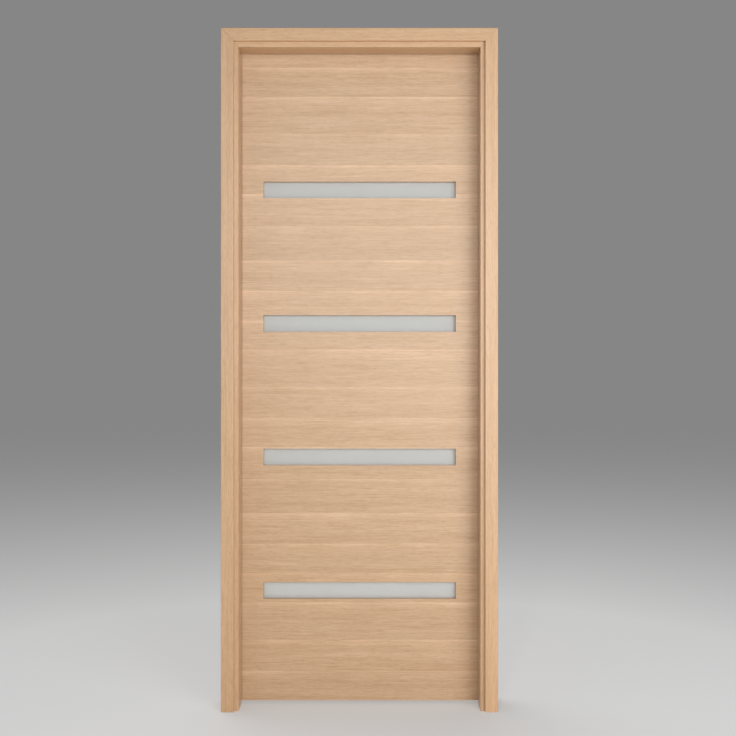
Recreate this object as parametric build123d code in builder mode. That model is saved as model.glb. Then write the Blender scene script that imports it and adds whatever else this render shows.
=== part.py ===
from build123d import *
from math import radians, tan
import os

# Leaf
leaf_width = 762
leaf_height = 2032
leaf_thick = 40
skin_thick = 4
lipping_width = 8
lock_bevel_angle = 3
arris = 1

# Glazed slots in the leaf
slot_count = 4
slot_margin = 80
slot_height = 52
slot_pitch = 418
first_slot_rise = 343
bead_width = 5
glass_thick = 6
glass_edge_clearance = 1

# Gaps round the closed leaf
edge_gap = 5.5
stop_gap = 5
floor_gap = 10

# Jambs
stop_overlap = 11
stop_depth = 75
rebate_wall = 21.5

# Casings
casing_width = 39.5
casing_thick = 12
casing_edge_radius = 2
front_casing_margin = 13.5
front_casing_head_margin = 16.5
back_casing_margin = 9

# Butt hinges
hinge_height = 89
hinge_top_drop = 180
hinge_bottom_rise = 280
plate_width = 32
plate_thick = 2.5
plate_corner_radius = 8
mortise_clearance = 0.2
pin_offset = 10
knuckle_radius = 6
knuckle_count = 5
knuckle_gap = 0.4
knuckle_notch = 2
pin_radius = 3.5
pin_clearance = 0.08
pin_head_height = 3
pin_head_round = 1.5
pin_tip_gap = 0.3

# Across the door: X is zero on the wall face of the hinge jamb
jamb_thick = rebate_wall + edge_gap + stop_overlap
leaf_left = rebate_wall + edge_gap
leaf_right = leaf_left + leaf_width
frame_right = leaf_right + edge_gap + rebate_wall
door_middle = frame_right / 2

# Through the wall: Y is zero at the middle of the jambs
jamb_depth = stop_depth + stop_gap + leaf_thick
jamb_front = -jamb_depth / 2
jamb_back = jamb_depth / 2
rebate_front = jamb_front + stop_depth
leaf_front = rebate_front + stop_gap
leaf_back = leaf_front + leaf_thick

# Heights above the floor
leaf_bottom = floor_gap
leaf_top = leaf_bottom + leaf_height
head_stop = leaf_top - stop_overlap
head_rebate = leaf_top + edge_gap
frame_top = head_rebate + rebate_wall

# Core of the leaf, between the skins and the lippings, and the pockets that hold the glass
core_front = leaf_front + skin_thick
core_back = leaf_back - skin_thick
core_left = leaf_left + lipping_width
core_right = leaf_right - lipping_width
pocket_left = leaf_left + slot_margin - bead_width
pocket_right = leaf_right - slot_margin + bead_width
pocket_width = pocket_right - pocket_left
pocket_height = slot_height + 2 * bead_width
slot_width = leaf_width - 2 * slot_margin
slot_centres = [leaf_bottom + first_slot_rise + i * slot_pitch for i in range(slot_count)]
bead_depth = (core_back - core_front - glass_thick) / 2
glass_front = core_front + bead_depth
glass_back = glass_front + glass_thick

# Hinges: the pin stands in the middle of the gap, behind the leaf
pin_x = rebate_wall + edge_gap / 2
pin_y = leaf_back + pin_offset
lowest_hinge = leaf_bottom + hinge_bottom_rise
highest_hinge = leaf_top - hinge_top_drop
hinge_centres = [lowest_hinge, (lowest_hinge + highest_hinge) / 2, highest_hinge]
knuckle_length = (hinge_height - (knuckle_count - 1) * knuckle_gap) / knuckle_count
knuckle_step = knuckle_length + knuckle_gap
bore_radius = pin_radius + pin_clearance

os.makedirs("parts", exist_ok=True)


def save(piece, name):
    piece.part.label = name
    export_step(piece.part, f"parts/{name}.step")


def board(x_range, y_range, z_range):
    # A square-edged board between two opposite corners
    ranges = (x_range, y_range, z_range)
    with Locations(tuple((low + high) / 2 for low, high in ranges)):
        Box(*(high - low for low, high in ranges))


def jamb_section(plane):
    # Rebated section: first axis from the wall into the doorway, second axis through the wall
    with BuildSketch(plane) as section:
        with BuildLine():
            Polyline(
                (0, jamb_front),
                (jamb_thick, jamb_front),
                (jamb_thick, rebate_front),
                (rebate_wall, rebate_front),
                (rebate_wall, jamb_back),
                (0, jamb_back),
                close=True,
            )
        make_face()
        stop_corners = section.vertices().group_by(Axis.X)[-1]
        back_corner = section.vertices().group_by(Axis.X)[1].sort_by(Axis.Y)[-1]
        fillet([*stop_corners, back_corner], arris)
    return section.sketch


def mortise_outlines(plane):
    # Shallow pockets for the hinge plates, open towards the back
    reach = plate_width + mortise_clearance
    with BuildSketch(plane) as outlines:
        with Locations([(leaf_back + (pin_offset - reach) / 2, z) for z in hinge_centres]):
            Rectangle(reach + pin_offset, hinge_height + 2 * mortise_clearance)
        fillet(outlines.vertices().group_by(Axis.X)[0], plate_corner_radius)
    return outlines.sketch


def knuckle_heights(hinge_centre, first):
    # Centres of every second knuckle, counted from the bottom one
    lowest = hinge_centre - (hinge_height - knuckle_length) / 2
    return [lowest + i * knuckle_step for i in range(first, knuckle_count, 2)]


# Jambs, mitred at the top corners
mitre_left = Plane(origin=(0, 0, frame_top), z_dir=(1, 0, 1))
mitre_right = Plane(origin=(frame_right, 0, frame_top), z_dir=(-1, 0, 1))
head_end = Plane(origin=(0, 0, frame_top), x_dir=(0, 0, -1), z_dir=(1, 0, 0))

with BuildPart() as hinge_jamb:
    extrude(jamb_section(Plane.XY), amount=frame_top)
    split(bisect_by=mitre_left, keep=Keep.BOTTOM)
    extrude(mortise_outlines(Plane.YZ.offset(rebate_wall)), amount=-plate_thick, mode=Mode.SUBTRACT)
save(hinge_jamb, "hinge_jamb")

with BuildPart() as lock_jamb:
    extrude(jamb_section(Plane.XY), amount=frame_top)
    split(bisect_by=mitre_left, keep=Keep.BOTTOM)
    mirror(about=Plane.YZ.offset(door_middle), mode=Mode.REPLACE)
save(lock_jamb, "lock_jamb")

with BuildPart() as head_jamb:
    extrude(jamb_section(head_end), amount=frame_right)
    split(bisect_by=mitre_left, keep=Keep.TOP)
    split(bisect_by=mitre_right, keep=Keep.TOP)
save(head_jamb, "head_jamb")

# Casings on both faces of the wall, mitred, with eased edges on the exposed face
casing_sets = (
    ("front", jamb_front, -1, jamb_thick - front_casing_margin, head_stop + front_casing_head_margin),
    ("back", jamb_back, 1, rebate_wall - back_casing_margin, head_rebate + back_casing_margin),
)
for face, seat, outward, inner, inner_top in casing_sets:
    outer = inner - casing_width
    outer_top = inner_top + casing_width
    seat_plane = Plane.XZ.offset(-seat)
    out_of_wall = Axis((0, 0, 0), (0, outward, 0))

    with BuildPart() as hinge_casing:
        with BuildSketch(seat_plane):
            with BuildLine():
                Polyline((outer, 0), (inner, 0), (inner, inner_top), (outer, outer_top), close=True)
            make_face()
        extrude(amount=-outward * casing_thick)
        exposed = hinge_casing.faces().sort_by(out_of_wall)[-1]
        fillet(exposed.edges().filter_by(Axis.Z), casing_edge_radius)
    save(hinge_casing, f"{face}_casing_hinge_side")

    with BuildPart() as lock_casing:
        add(hinge_casing.part)
        mirror(about=Plane.YZ.offset(door_middle), mode=Mode.REPLACE)
    save(lock_casing, f"{face}_casing_lock_side")

    with BuildPart() as head_casing:
        with BuildSketch(seat_plane):
            with BuildLine():
                Polyline(
                    (inner, inner_top),
                    (frame_right - inner, inner_top),
                    (frame_right - outer, outer_top),
                    (outer, outer_top),
                    close=True,
                )
            make_face()
        extrude(amount=-outward * casing_thick)
        exposed = head_casing.faces().sort_by(out_of_wall)[-1]
        fillet(exposed.edges().filter_by(Axis.X), casing_edge_radius)
    save(head_casing, f"{face}_casing_head")

# Skins of the leaf, with a slot for each strip of glass
for name, skin_front in (("front_skin", leaf_front), ("back_skin", core_back)):
    with BuildPart() as skin:
        with BuildSketch(Plane.XZ.offset(-skin_front)):
            with Locations((door_middle, (leaf_bottom + leaf_top) / 2)):
                Rectangle(core_right - core_left, leaf_height)
            with Locations([(door_middle, z) for z in slot_centres]):
                Rectangle(slot_width, slot_height, mode=Mode.SUBTRACT)
        extrude(amount=-skin_thick)
    save(skin, name)

# Lippings on the long edges: square on the hinge side, bevelled on the lock side
lock_setback = leaf_thick * tan(radians(lock_bevel_angle))

with BuildPart() as hinge_lipping:
    with BuildSketch(Plane.XY.offset(leaf_bottom)) as section:
        with Locations(((leaf_left + core_left) / 2, (leaf_front + leaf_back) / 2)):
            Rectangle(lipping_width, leaf_thick)
        fillet(section.vertices().group_by(Axis.X)[0], arris)
    extrude(amount=leaf_height)
    extrude(mortise_outlines(Plane.YZ.offset(leaf_left)), amount=plate_thick, mode=Mode.SUBTRACT)
save(hinge_lipping, "hinge_lipping")

with BuildPart() as lock_lipping:
    with BuildSketch(Plane.XY.offset(leaf_bottom)) as section:
        with BuildLine():
            Polyline(
                (core_right, leaf_front),
                (leaf_right - lock_setback, leaf_front),
                (leaf_right, leaf_back),
                (core_right, leaf_back),
                close=True,
            )
        make_face()
        fillet(section.vertices().sort_by(Axis.X)[-2:], arris)
    extrude(amount=leaf_height)
save(lock_lipping, "lock_lipping")

# Stiles and rails of the core: the rails leave a pocket for each strip of glass
for name, across in (
    ("hinge_stile", (core_left, pocket_left)),
    ("lock_stile", (pocket_right, core_right)),
):
    with BuildPart() as stile:
        board(across, (core_front, core_back), (leaf_bottom, leaf_top))
    save(stile, name)

rail_bottoms = [leaf_bottom] + [z + pocket_height / 2 for z in slot_centres]
rail_tops = [z - pocket_height / 2 for z in slot_centres] + [leaf_top]
for number, rail_range in enumerate(zip(rail_bottoms, rail_tops), start=1):
    with BuildPart() as rail:
        board((pocket_left, pocket_right), (core_front, core_back), rail_range)
    save(rail, f"rail_{number}")

# Glass strips, each held between a front and a back ring of beads
glass_width = pocket_width - 2 * glass_edge_clearance
glass_height = pocket_height - 2 * glass_edge_clearance
for number, centre in enumerate(slot_centres, start=1):
    with BuildPart() as glass:
        with BuildSketch(Plane.XZ.offset(-glass_front)):
            with Locations((door_middle, centre)):
                Rectangle(glass_width, glass_height)
        extrude(amount=-glass_thick)
    save(glass, f"glass_strip_{number}")

    with BuildPart() as beads:
        for ring_front in (core_front, glass_back):
            with BuildSketch(Plane.XZ.offset(-ring_front)):
                with Locations((door_middle, centre)):
                    Rectangle(pocket_width, pocket_height)
                    Rectangle(slot_width, slot_height, mode=Mode.SUBTRACT)
            extrude(amount=-bead_depth)
    save(beads, f"glazing_beads_{number}")

# Butt hinges: two plates with alternate knuckles round a loose pin
for number, centre in enumerate(hinge_centres, start=1):
    for owner, plate_left, first in (("frame", rebate_wall - plate_thick, 0), ("leaf", leaf_left, 1)):
        with BuildPart() as plate:
            with BuildSketch(Plane.YZ.offset(plate_left)) as outline:
                with Locations((leaf_back + (pin_offset - plate_width) / 2, centre)):
                    Rectangle(plate_width + pin_offset, hinge_height)
                fillet(outline.vertices().group_by(Axis.X)[0], plate_corner_radius)
                with Locations([(pin_y, z) for z in knuckle_heights(centre, 1 - first)]):
                    Rectangle(
                        2 * (knuckle_radius + knuckle_notch),
                        knuckle_length + 2 * knuckle_gap,
                        mode=Mode.SUBTRACT,
                    )
            extrude(amount=plate_thick)
            with Locations([(pin_x, pin_y, z) for z in knuckle_heights(centre, first)]):
                Cylinder(knuckle_radius, knuckle_length)
            with Locations((pin_x, pin_y, centre)):
                Cylinder(bore_radius, hinge_height, mode=Mode.SUBTRACT)
        save(plate, f"hinge_{number}_{owner}_plate")

    with BuildPart() as pin:
        with BuildSketch(Plane((pin_x, pin_y, centre), x_dir=(1, 0, 0), z_dir=(0, -1, 0))):
            shaft_foot = -hinge_height / 2 - pin_tip_gap
            with Locations((0, shaft_foot)):
                Rectangle(pin_radius, hinge_height + pin_tip_gap, align=(Align.MIN, Align.MIN))
            for start, rise in ((hinge_height / 2, pin_head_height), (shaft_foot, -pin_head_height)):
                with BuildLine():
                    Polyline(
                        (0, start),
                        (knuckle_radius, start),
                        (knuckle_radius, start + rise / 2),
                        (knuckle_radius - pin_head_round, start + rise),
                        (0, start + rise),
                        close=True,
                    )
                make_face()
        revolve(axis=Axis((pin_x, pin_y, 0), (0, 0, 1)))
    save(pin, f"hinge_{number}_pin")
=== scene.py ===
import math
import bpy
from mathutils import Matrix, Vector


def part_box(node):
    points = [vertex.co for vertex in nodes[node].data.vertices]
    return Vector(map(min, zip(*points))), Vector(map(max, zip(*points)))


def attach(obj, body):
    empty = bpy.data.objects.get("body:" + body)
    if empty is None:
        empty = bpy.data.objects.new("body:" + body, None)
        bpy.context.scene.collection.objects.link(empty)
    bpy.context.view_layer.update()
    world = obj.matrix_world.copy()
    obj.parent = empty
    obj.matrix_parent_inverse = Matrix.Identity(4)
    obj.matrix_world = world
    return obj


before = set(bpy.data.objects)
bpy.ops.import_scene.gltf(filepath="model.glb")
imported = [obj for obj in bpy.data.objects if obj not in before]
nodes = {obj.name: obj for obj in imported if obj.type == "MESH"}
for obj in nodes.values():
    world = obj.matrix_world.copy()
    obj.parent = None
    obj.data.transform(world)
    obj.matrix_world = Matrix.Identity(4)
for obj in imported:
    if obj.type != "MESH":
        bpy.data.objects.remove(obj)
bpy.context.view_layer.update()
scene = bpy.context.scene
scene.view_settings.view_transform = "Standard"
headLow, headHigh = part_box("head_jamb")
doorMiddle = (headLow.x + headHigh.x) / 2
print("door loaded,", len(nodes), "solids")


# camera: straight on, at half the door's height
cameraView = {"place": (0.434, -3.51, 1.0496), "lens": 55.17, "sensor": 36.0, "reach": 300.0}

bpy.ops.object.select_all(action="DESELECT")
bpy.ops.object.camera_add(location=cameraView["place"], rotation=(math.pi / 2, 0, 0))
camera = bpy.context.object
camera.data.lens = cameraView["lens"]
camera.data.sensor_width = cameraView["sensor"]
camera.data.clip_end = cameraView["reach"]
scene.camera = camera
print("camera placed")


# small tools for shader trees
noiseSpan = (0.3, 0.7)    # most of a noise's values lie between these


def setSocket(tree, socket, value):
    if isinstance(value, bpy.types.NodeSocket):
        tree.links.new(value, socket)
    else:
        socket.default_value = value


def setSockets(tree, sockets, values):
    for socket, value in zip(sockets, values):
        setSocket(tree, socket, value)


def addNode(tree, kind, inputs=None, **settings):
    made = tree.nodes.new("ShaderNode" + kind)
    for name, value in settings.items():
        setattr(made, name, value)
    for name, value in (inputs or {}).items():
        setSocket(tree, made.inputs[name], value)
    return made


def calc(tree, operation, *values, clamp=False):
    made = addNode(tree, "Math", operation=operation, use_clamp=clamp)
    setSockets(tree, made.inputs, values)
    return made.outputs[0]


def calcVector(tree, operation, *values):
    made = addNode(tree, "VectorMath", operation=operation)
    setSockets(tree, made.inputs, values)
    return made.outputs["Value" if operation in ("DISTANCE", "DOT_PRODUCT") else "Vector"]


def scaleVector(tree, vector, factor):
    made = addNode(tree, "VectorMath", {"Scale": factor}, operation="SCALE")
    setSocket(tree, made.inputs[0], vector)
    return made.outputs["Vector"]


def joinVector(tree, x=0.0, y=0.0, z=0.0):
    return addNode(tree, "CombineXYZ", {"X": x, "Y": y, "Z": z}).outputs[0]


def splitVector(tree, vector):
    return addNode(tree, "SeparateXYZ", {"Vector": vector}).outputs


def remap(tree, value, low, high, toLow=0.0, toHigh=1.0, kind="LINEAR"):
    made = addNode(tree, "MapRange", {"Value": value, "From Min": low, "From Max": high,
                                      "To Min": toLow, "To Max": toHigh}, interpolation_type=kind)
    return made.outputs[0]


def mixColour(tree, mask, first, second):
    made = addNode(tree, "Mix", data_type="RGBA")
    setSockets(tree, (made.inputs[0], made.inputs[6], made.inputs[7]), (mask, first, second))
    return made.outputs[2]


def noise(tree, vector, stretch, detail=2.0, roughness=0.5):
    made = addNode(tree, "TexNoise", {"Vector": calcVector(tree, "MULTIPLY", vector, stretch),
                                      "Scale": 1.0, "Detail": detail, "Roughness": roughness})
    return made.outputs[0]


def newGroup(name, inputs, outputs):
    group = bpy.data.node_groups.new(name, "ShaderNodeTree")
    for label, kind in inputs:
        group.interface.new_socket(label, in_out="INPUT", socket_type="NodeSocket" + kind)
    for label, kind in outputs:
        group.interface.new_socket(label, in_out="OUTPUT", socket_type="NodeSocket" + kind)
    given = group.nodes.new("NodeGroupInput").outputs
    result = group.nodes.new("NodeGroupOutput").inputs
    return group, given, result


def useGroup(tree, group, inputs):
    return addNode(tree, "Group", inputs, node_tree=group).outputs


def newMaterial(name, colour, sockets):
    material = bpy.data.materials.new(name)
    material.use_nodes = True
    material.diffuse_color = colour
    tree = material.node_tree
    tree.nodes.clear()
    surface = addNode(tree, "BsdfPrincipled", sockets)
    addNode(tree, "OutputMaterial", {"Surface": surface.outputs[0]})
    place = addNode(tree, "TexCoord").outputs["Object"]
    return material, tree, surface.inputs, place


def addBump(tree, surface, height, bump):
    strength, depth = bump
    made = addNode(tree, "Bump", {"Strength": strength, "Distance": depth, "Height": height})
    setSocket(tree, surface["Normal"], made.outputs[0])


def dress(nodeName, material):
    for slot in nodes[nodeName].material_slots:
        slot.material = material


# oak: broad bands, streaks, flecks, fibres and open pores, all long in the grain
oakGrainLook = {
    "seedShift": (3.71, 1.93, 0.57),        # each seed moves on to another stretch of wood
    "wander": (0.011, (1.3, 7.0, 7.0)),     # how far the grain strays, and how often
    "layers": {                             # share of the tone, and stretch
        "bands": (0.75, (0.9, 38.0, 38.0)),
        "streaks": (0.90, (5.4, 225.0, 225.0)),
        "flecks": (1.0, (26.0, 340.0, 340.0)),
        "fibres": (0.95, (9.0, 560.0, 560.0)),
    },
    "layerDetail": (2.5, 0.55),
    "pores": (55.0, 1300.0, 1300.0),
    "poreLimits": (0.60, 0.72),
    "poreShade": 0.18,
    "poreDepth": 0.6,
    "roughness": (0.44, 0.56),
    "roughParts": {"base": 0.4, "tone": 0.6, "pores": 0.3},
}


def makeOakGrain():
    look = oakGrainLook
    tree, given, result = newGroup(
        "oakGrain",
        (("Vector", "Vector"), ("Seed", "Float"), ("Pale", "Color"), ("Deep", "Color"),
         ("Contrast", "Float")),
        (("Color", "Color"), ("Roughness", "Float"), ("Height", "Float")))
    vector = calcVector(tree, "ADD", given["Vector"], scaleVector(tree, look["seedShift"], given["Seed"]))
    reach, often = look["wander"]
    stray = calc(tree, "MULTIPLY", calc(tree, "SUBTRACT", noise(tree, vector, often), 0.5), reach * 2)
    vector = calcVector(tree, "ADD", vector, joinVector(tree, y=stray, z=stray))
    tone = 0.0
    for share, stretch in look["layers"].values():
        layer = calc(tree, "SUBTRACT", noise(tree, vector, stretch, *look["layerDetail"]), 0.5)
        tone = calc(tree, "MULTIPLY_ADD", layer, share, tone)
    pores = remap(tree, noise(tree, vector, look["pores"], 0.0), *look["poreLimits"], kind="SMOOTHSTEP")
    mask = calc(tree, "MULTIPLY_ADD", tone, given["Contrast"], 0.5, clamp=True)
    colour = mixColour(tree, mask, given["Deep"], given["Pale"])
    shade = calc(tree, "MULTIPLY_ADD", pores, -look["poreShade"], 1.0)
    setSocket(tree, result["Color"], scaleVector(tree, colour, shade))
    parts = look["roughParts"]
    rough = calc(tree, "MULTIPLY_ADD", tone, parts["tone"], parts["base"])
    rough = calc(tree, "MULTIPLY_ADD", pores, parts["pores"], rough)
    setSocket(tree, result["Roughness"], remap(tree, rough, 0.0, 1.0, *look["roughness"]))
    setSocket(tree, result["Height"], calc(tree, "MULTIPLY_ADD", pores, -look["poreDepth"], tone))
    return tree


oakGrain = makeOakGrain()


# the veneer is laid in strips, eight heights that come round again down the leaf; the upper edge of each
# strip gets a painted highlight
veneerStrips = {
    "top": 1.898,                              # upper edge of the first strip of a round
    "heights": (0.117, 0.097, 0.091, 0.100, 0.107, 0.095, 0.093, 0.091),
    "glow": ((0.10, 0.0040), (0.14, 0.018)),   # strength and reach of the pale upper edge
    "highlightVaries": (6.0, (0.25, 1.35)),         # how often along the strip, and between what shares
    "highlightShift": 0.43,                         # from one strip to the next
}


def makeVeneerStrips():
    look = veneerStrips
    tree, given, result = newGroup("veneerStrips", (("Height", "Float"), ("Along", "Float")),
                                   (("Seed", "Float"), ("Glow", "Float")))
    whole = sum(look["heights"])
    rounds = calc(tree, "DIVIDE", calc(tree, "SUBTRACT", look["top"], given["Height"]), whole)
    turn = calc(tree, "FLOOR", rounds)
    drop = calc(tree, "MULTIPLY", calc(tree, "SUBTRACT", rounds, turn), whole)
    seed = calc(tree, "MULTIPLY", turn, float(len(look["heights"])))
    below = drop
    edge = 0.0
    for height in look["heights"][:-1]:
        edge += height
        passed = calc(tree, "GREATER_THAN", drop, edge)
        seed = calc(tree, "ADD", seed, passed)
        below = calc(tree, "MULTIPLY_ADD", passed, -height, below)
    # painted highlight: each strip's upper edge is lightened, fading downward
    glow = 0.0
    for strength, reach in look["glow"]:
        fall = calc(tree, "EXPONENT", calc(tree, "DIVIDE", below, -reach))
        glow = calc(tree, "MULTIPLY_ADD", fall, strength, glow)
    often, shares = look["highlightVaries"]
    run = joinVector(tree, given["Along"], calc(tree, "MULTIPLY", seed, look["highlightShift"]))
    share = remap(tree, noise(tree, run, (often,) * 3), *noiseSpan, *shares)
    setSocket(tree, result["Seed"], seed)
    setSocket(tree, result["Glow"], calc(tree, "MULTIPLY", glow, share))
    return tree


stripLayout = makeVeneerStrips()


# dark hairline where two frame boards meet at 45 degrees; on the lock side it is painted fainter, standing
# in for the brighter light there
mitreLine = {"half": 0.0004, "soft": 0.0006, "lockSideWashedOut": 0.4, "sideBlend": 0.01}


def makeMitreLine():
    look = mitreLine
    tree, given, result = newGroup("mitreLine", (("Vector", "Vector"), ("Corner", "Float")),
                                   (("Line", "Float"),))
    spot = splitVector(tree, given["Vector"])
    aside = calc(tree, "ABSOLUTE", calc(tree, "SUBTRACT", spot["X"], doorMiddle))
    inward = calc(tree, "SUBTRACT", doorMiddle, aside)
    off = calc(tree, "SUBTRACT", calc(tree, "ADD", inward, spot["Z"]), given["Corner"])
    away = calc(tree, "MULTIPLY", calc(tree, "ABSOLUTE", off), math.sqrt(0.5))
    line = remap(tree, away, look["half"], look["half"] + look["soft"], 1.0, 0.0)
    # painted light: the joint line fades on the lock side, where the light is stronger
    share = remap(tree, spot["X"], doorMiddle, doorMiddle + look["sideBlend"], 1.0, look["lockSideWashedOut"])
    setSocket(tree, result["Line"], calc(tree, "MULTIPLY", line, share))
    return tree


mitreGroup = makeMitreLine()


def grainVector(tree, place, along):
    # along the board, across it and into it
    spot = splitVector(tree, place)
    order = {"up": "ZXY", "level": "XZY"}[along]
    return joinVector(tree, *(spot[axis] for axis in order))


# satin lacquer over all the oak
lacquer = {"Coat Weight": 1.0, "Coat Roughness": 0.43, "Coat IOR": 1.5}


# leaf faces
leafVeneer = {"pale": (0.607, 0.406, 0.244, 1), "deep": (0.469, 0.278, 0.135, 1), "contrast": 1.30,
              "stripHighlight": (0.60, 0.46, 0.33), "stripTone": 0.022, "bump": (0.12, 0.0004)}


def makeLeafVeneer():
    look = leafVeneer
    material, tree, surface, place = newMaterial("leafVeneer", look["pale"], lacquer)
    spot = splitVector(tree, place)
    strip = useGroup(tree, stripLayout, {"Height": spot["Z"], "Along": spot["X"]})
    grain = useGroup(tree, oakGrain, {"Vector": grainVector(tree, place, "level"), "Seed": strip["Seed"],
                                      "Pale": look["pale"], "Deep": look["deep"],
                                      "Contrast": look["contrast"]})
    own = addNode(tree, "TexWhiteNoise", {"W": strip["Seed"]}, noise_dimensions="1D").outputs["Value"]
    lift = remap(tree, own, 0.0, 1.0, 1 - look["stripTone"], 1 + look["stripTone"])
    colour = scaleVector(tree, grain["Color"], lift)
    # painted highlight added to the colour along each strip's upper edge
    colour = calcVector(tree, "MULTIPLY_ADD", strip["Glow"], look["stripHighlight"], colour)
    setSocket(tree, surface["Base Color"], colour)
    setSocket(tree, surface["Roughness"], grain["Roughness"])
    addBump(tree, surface, grain["Height"], look["bump"])
    return material


veneer = makeLeafVeneer()
for name in ("front_skin", "back_skin"):
    dress(name, veneer)
print("leaf veneered")


# frame boards, lippings and beads: one tree each, with its own stretch of grain
oakBoards = {"pale": (0.655, 0.415, 0.230, 1), "deep": (0.51, 0.299, 0.146, 1), "contrast": 1.25,
             "bump": (0.12, 0.0004), "mitreShade": 0.42, "firstSeed": 20.0, "seedStep": 1.37,
             # partly the boards' own tone, partly painted light from the right
             "tonesAndPaintedLight": {"front_casing_lock_side": 1.04, "front_casing_hinge_side": 0.97, "lock_jamb": 0.94}}


def makeBoard(name, along, seed, corner):
    look = oakBoards
    material, tree, surface, place = newMaterial("oak_" + name, look["pale"], lacquer)
    grain = useGroup(tree, oakGrain, {"Vector": grainVector(tree, place, along), "Seed": seed,
                                      "Pale": look["pale"], "Deep": look["deep"],
                                      "Contrast": look["contrast"]})
    # partly each board's own tone, partly painted light: the lock-side casing painted paler, the hinge-side
    # casing and lock jamb painted darker for how the light falls
    shade = look["tonesAndPaintedLight"].get(name, 1.0)
    if corner:
        line = useGroup(tree, mitreGroup, {"Vector": place, "Corner": corner})["Line"]
        shade = calc(tree, "MULTIPLY_ADD", line, -look["mitreShade"], shade)
    setSocket(tree, surface["Base Color"], scaleVector(tree, grain["Color"], shade))
    setSocket(tree, surface["Roughness"], grain["Roughness"])
    addBump(tree, surface, grain["Height"], look["bump"])
    return material


casingLow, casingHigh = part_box("front_casing_head")
casingCorner = casingLow.x + casingHigh.z
frameCorner = headLow.x + headHigh.z
boardSeed = oakBoards["firstSeed"]
for name in nodes:
    inFrame = "casing" in name or name.endswith("_jamb")
    if inFrame or name.endswith("_lipping") or name.startswith("glazing_beads"):
        along = "level" if "head" in name or "beads" in name else "up"
        corner = casingCorner if name.startswith("front_casing") else frameCorner
        boardSeed += oakBoards["seedStep"]
        dress(name, makeBoard(name, along, boardSeed, corner if inFrame else None))
print("frame, lippings and beads in oak")


# pressed core, which shows at the leaf's top and bottom edges
coreBoard = {"pale": (0.60, 0.44, 0.28, 1), "deep": (0.36, 0.23, 0.13, 1), "roughness": 0.8,
             "flake": 420.0, "flakeShare": 0.7, "cloud": 60.0, "cloudShare": 0.4, "bump": (0.3, 0.0005)}


def makeCore():
    look = coreBoard
    material, tree, surface, place = newMaterial("pressedCore", look["pale"],
                                                 {"Roughness": look["roughness"]})
    cloud = calc(tree, "MULTIPLY", noise(tree, place, (look["cloud"],) * 3), look["cloudShare"])
    flakes = addNode(tree, "TexVoronoi", {"Vector": place, "Scale": look["flake"]})
    tint = addNode(tree, "SeparateColor", {"Color": flakes.outputs["Color"]}).outputs[0]
    mask = calc(tree, "MULTIPLY_ADD", tint, look["flakeShare"], cloud, clamp=True)
    setSocket(tree, surface["Base Color"], mixColour(tree, mask, look["deep"], look["pale"]))
    addBump(tree, surface, tint, look["bump"])
    return material


core = makeCore()
for name in nodes:
    if name.endswith("_stile") or name.startswith("rail_"):
        dress(name, core)
print("core pressed")


# frosted glass: milky, with a fine blasted face
frostedGlass = {"clear": (0.815, 0.835, 0.82, 1), "milky": (0.785, 0.80, 0.785, 1),
                "through": 0.58, "index": 1.5,
                "cloud": 9.0, "cloudDetail": 3.0, "speck": 1400.0, "speckDetail": 1.0,
                "roughness": (0.42, 0.58), "bump": (0.15, 0.0002)}


def makeGlass():
    look = frostedGlass
    material, tree, surface, place = newMaterial(
        "frostedGlass", look["clear"], {"Transmission Weight": look["through"], "IOR": look["index"]})
    cloud = noise(tree, place, (look["cloud"],) * 3, look["cloudDetail"])
    speck = noise(tree, place, (look["speck"],) * 3, look["speckDetail"])
    setSocket(tree, surface["Base Color"], mixColour(tree, cloud, look["milky"], look["clear"]))
    setSocket(tree, surface["Roughness"], remap(tree, speck, *noiseSpan, *look["roughness"]))
    addBump(tree, surface, speck, look["bump"])
    return material


glass = makeGlass()
for name in nodes:
    if name.startswith("glass_strip"):
        dress(name, glass)
print("glass frosted")


# hinge steel, brushed along its height
hingeSteel = {"pale": (0.62, 0.61, 0.59, 1), "deep": (0.47, 0.46, 0.445, 1),
              "brush": (1600.0, 1600.0, 26.0), "brushShare": 0.6, "smear": 35.0, "smearShare": 0.4,
              "roughness": (0.26, 0.42), "bump": (0.1, 0.0002)}


def makeSteel():
    look = hingeSteel
    material, tree, surface, place = newMaterial("brushedSteel", look["pale"], {"Metallic": 1.0})
    brush = noise(tree, place, look["brush"])
    smear = calc(tree, "MULTIPLY", noise(tree, place, (look["smear"],) * 3), look["smearShare"])
    mask = calc(tree, "MULTIPLY_ADD", brush, look["brushShare"], smear, clamp=True)
    setSocket(tree, surface["Base Color"], mixColour(tree, mask, look["deep"], look["pale"]))
    setSocket(tree, surface["Roughness"], remap(tree, mask, *noiseSpan, *look["roughness"]))
    addBump(tree, surface, brush, look["bump"])
    return material


steel = makeSteel()
for name in nodes:
    if name.endswith(("_plate", "_pin")):
        dress(name, steel)
print("hinges in steel")


# hinge screws, four to a plate, countersunk with a cross recess
hingeScrew = {
    "sides": 28, "radius": 0.0042, "proud": 0.0002, "sunk": 0.0012,
    "edge": 0.0005, "edgeSteps": 2, "domeInset": 0.3, "dome": 0.00025,
    "crossLength": 0.0044, "crossWidth": 0.0009, "crossDepth": 0.0009,
    "topFacing": 0.99, "smoothUnder": 35,
    "holes": ((-0.0315, -0.005), (-0.0105, 0.005), (0.0105, 0.005), (0.0315, -0.005)),   # up and across
    "plateMiddle": 0.044,      # through the wall
    "edgeGap": 0.0055,         # between the leaf and the jamb
    "turns": (0.35, 0.9),      # of the first recess, and on to the next
}


def startPiece():
    if bpy.context.object and bpy.context.object.mode != "OBJECT":
        bpy.ops.object.mode_set(mode="OBJECT")
    bpy.ops.object.select_all(action="DESELECT")


def pick(pieces):
    startPiece()
    for piece in pieces:
        piece.select_set(True)
    bpy.context.view_layer.objects.active = pieces[0]


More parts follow.
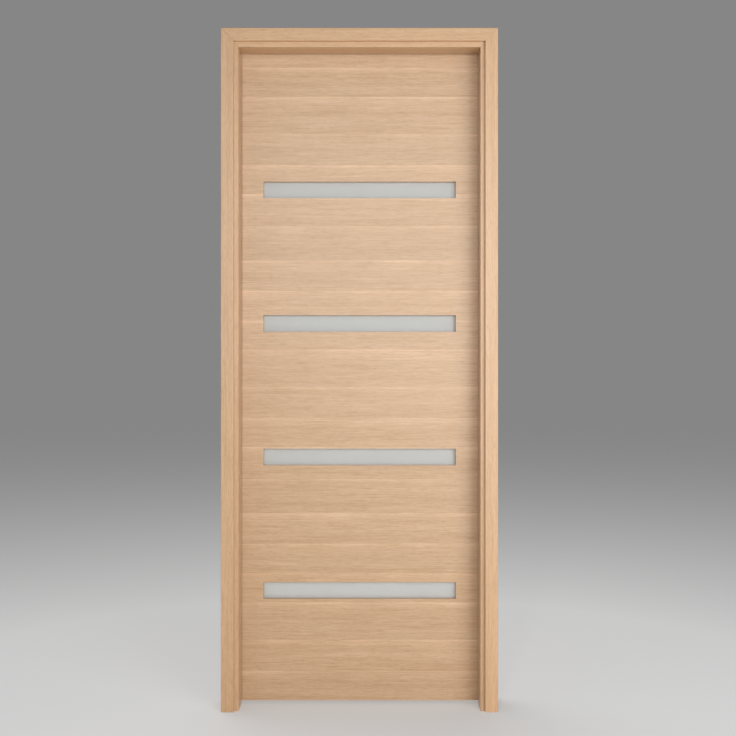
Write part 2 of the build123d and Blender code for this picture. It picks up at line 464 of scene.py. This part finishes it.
def selectTop(piece):
    # faces are picked in object mode, then edit mode opens on them
    bpy.ops.object.mode_set(mode="EDIT")
    bpy.ops.mesh.select_mode(type="FACE")
    bpy.ops.mesh.select_all(action="DESELECT")
    bpy.ops.object.mode_set(mode="OBJECT")
    for face in piece.data.polygons:
        face.select = face.normal.z > hingeScrew["topFacing"]
    bpy.ops.object.mode_set(mode="EDIT")


def cutSlot(screw, turn):
    look = hingeScrew
    startPiece()
    bpy.ops.mesh.primitive_cube_add(size=1, location=(0, 0, look["proud"] + look["dome"]),
                                    rotation=(0, 0, turn),
                                    scale=(look["crossLength"], look["crossWidth"], look["crossDepth"] * 2))
    cutter = bpy.context.object
    bpy.ops.object.transform_apply(location=True, rotation=True, scale=True)
    pick([screw])
    cut = screw.modifiers.new("recess", "BOOLEAN")
    cut.operation = "DIFFERENCE"
    cut.solver = "EXACT"
    cut.object = cutter
    bpy.ops.object.modifier_apply(modifier=cut.name)
    bpy.data.objects.remove(cutter)


def modelScrew():
    look = hingeScrew
    startPiece()
    depth = look["proud"] + look["sunk"]
    bpy.ops.mesh.primitive_cylinder_add(vertices=look["sides"], radius=look["radius"], depth=depth,
                                        location=(0, 0, look["proud"] - depth / 2))
    screw = bpy.context.object
    bpy.ops.object.transform_apply(location=True, rotation=True, scale=True)
    selectTop(screw)
    bpy.ops.mesh.bevel(offset=look["edge"], offset_type="OFFSET", segments=look["edgeSteps"], affect="EDGES")
    bpy.ops.object.mode_set(mode="OBJECT")
    selectTop(screw)
    bpy.ops.mesh.inset(thickness=look["radius"] * look["domeInset"], depth=look["dome"])
    bpy.ops.object.mode_set(mode="OBJECT")
    for turn in (0.0, math.pi / 2):
        cutSlot(screw, turn)
    pick([screw])
    bpy.ops.object.shade_smooth_by_angle(angle=math.radians(look["smoothUnder"]))
    return screw


def placeScrews(screw, plate, body, faceX, outward):
    look = hingeScrew
    low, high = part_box(plate)
    middle = (low.z + high.z) / 2
    firstTurn, nextTurn = look["turns"]
    copies = []
    for place, (up, across) in enumerate(look["holes"]):
        copy = screw.copy()
        copy.data = screw.data.copy()
        scene.collection.objects.link(copy)
        copy.location = (faceX, look["plateMiddle"] + across, middle + up)
        copy.rotation_mode = "ZYX"          # spun on its own axis first, then laid on the plate
        copy.rotation_euler = (0, outward * math.pi / 2, firstTurn + nextTurn * place)
        copies.append(copy)
    pick(copies)
    bpy.ops.object.join()
    bpy.ops.object.transform_apply(location=True, rotation=True, scale=True)
    piece = bpy.context.object
    piece.name = plate.replace("plate", "screws")
    piece.data.name = piece.name
    piece.data.materials.clear()
    piece.data.materials.append(steel)
    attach(piece, body)


screwModel = modelScrew()
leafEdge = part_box("hinge_lipping")[0].x
jambFace = leafEdge - hingeScrew["edgeGap"]
for number in (1, 2, 3):
    placeScrews(screwModel, f"hinge_{number}_frame_plate", "frame", jambFace, 1)
    placeScrews(screwModel, f"hinge_{number}_leaf_plate", "leaf", leafEdge, -1)
bpy.data.objects.remove(screwModel)
print("hinge screws in")


# studio: a pale floor that fades to grey, two soft lamps from the right and a narrow one in front
studio = {
    "floorRadius": 120.0, "floorSides": 128, "floorColour": (0.50, 0.50, 0.50, 1), "floorGlow": 0.262,
    "floorBounce": (0.90, 0.84, 0.74, 1),   # the floor is paler and warmer in what it throws on the door
    "farGrey": 0.238, "fadeFrom": 1.65, "fadeRate": 0.325, "ambient": 0.10,
    "rearGlow": 2.0, "rearFrom": (-0.40, 0.90, 0.17),     # broad light on the far side of the wall
    "leftGlow": 0.64, "leftFrom": (-0.85, -0.50, 0.15),   # and on the left
    "glowFocus": 2.0, "lampSpread": 140,
    "lamps": {
        "key": {"place": (2.3, -3.0, 1.2), "aimHeight": 1.0, "size": (2.0, 2.2), "power": 32.2},
        "side": {"place": (1.5, -3.7, 1.6), "aimHeight": 1.3, "size": (1.8, 2.2), "power": 21.2},
        "front": {"place": (-0.18, -4.5, 1.95), "aimHeight": 1.2, "size": (0.24, 0.9), "power": 21.2},
    },
}


def grey(level):
    return (level, level, level, 1)


def seenDirectly(tree):
    # by the camera, or mirrored in lacquer, metal and glass
    path = addNode(tree, "LightPath").outputs
    return calc(tree, "MAXIMUM", path["Is Camera Ray"],
                calc(tree, "MAXIMUM", path["Is Glossy Ray"], path["Is Transmission Ray"]))


def layFloor():
    startPiece()
    bpy.ops.mesh.primitive_circle_add(vertices=studio["floorSides"], radius=studio["floorRadius"],
                                      fill_type="NGON")
    floor = bpy.context.object
    floor.name = "studioFloor"
    material = bpy.data.materials.new("studioFloor")
    material.use_nodes = True
    tree = material.node_tree
    tree.nodes.clear()
    place = addNode(tree, "TexCoord").outputs["Object"]
    away = calcVector(tree, "DISTANCE", place, (doorMiddle, 0.0, 0.0))
    past = calc(tree, "MAXIMUM", calc(tree, "SUBTRACT", away, studio["fadeFrom"]), 0.0)
    near = calc(tree, "EXPONENT", calc(tree, "MULTIPLY", past, -studio["fadeRate"]))
    thrown = addNode(tree, "LightPath").outputs["Is Diffuse Ray"]
    tint = mixColour(tree, thrown, studio["floorColour"], studio["floorBounce"])
    lit = addNode(tree, "BsdfDiffuse", {"Color": tint})
    glow = addNode(tree, "Emission", {"Color": grey(studio["floorGlow"]), "Strength": seenDirectly(tree)})
    pale = addNode(tree, "AddShader")
    setSockets(tree, pale.inputs, (lit.outputs[0], glow.outputs[0]))
    far = addNode(tree, "Emission", {"Color": grey(studio["farGrey"]), "Strength": 1.0})
    mix = addNode(tree, "MixShader")
    setSockets(tree, mix.inputs, (near, far.outputs[0], pale.outputs[0]))
    addNode(tree, "OutputMaterial", {"Surface": mix.outputs[0]})
    floor.data.materials.append(material)


def hangLamp(name, lamp):
    startPiece()
    aim = Vector((doorMiddle, 0.0, lamp["aimHeight"])) - Vector(lamp["place"])
    bpy.ops.object.light_add(type="AREA", location=lamp["place"],
                             rotation=aim.to_track_quat("-Z", "Y").to_euler())
    light = bpy.context.object
    light.name = name
    light.data.shape = "RECTANGLE"
    light.data.size, light.data.size_y = lamp["size"]
    light.data.energy = lamp["power"]
    light.data.spread = math.radians(studio["lampSpread"])


def fillWorld():
    world = bpy.data.worlds.new("studioAir")
    scene.world = world
    world.use_nodes = True
    tree = world.node_tree
    tree.nodes.clear()
    place = addNode(tree, "TexCoord").outputs["Generated"]
    strength = studio["ambient"]
    for side in ("rear", "left"):
        facing = calcVector(tree, "DOT_PRODUCT", place, studio[side + "From"])
        broad = calc(tree, "POWER", calc(tree, "MAXIMUM", facing, 0.0), studio["glowFocus"])
        strength = calc(tree, "MULTIPLY_ADD", broad, studio[side + "Glow"], strength)
    ambient = addNode(tree, "Background", {"Color": grey(1), "Strength": strength})
    shown = addNode(tree, "Background", {"Color": grey(studio["farGrey"]), "Strength": 1.0})
    mix = addNode(tree, "MixShader")
    setSockets(tree, mix.inputs, (seenDirectly(tree), ambient.outputs[0], shown.outputs[0]))
    addNode(tree, "OutputWorld", {"Surface": mix.outputs[0]})


layFloor()
fillWorld()
for name, lamp in studio["lamps"].items():
    hangLamp(name, lamp)
print("studio lit")
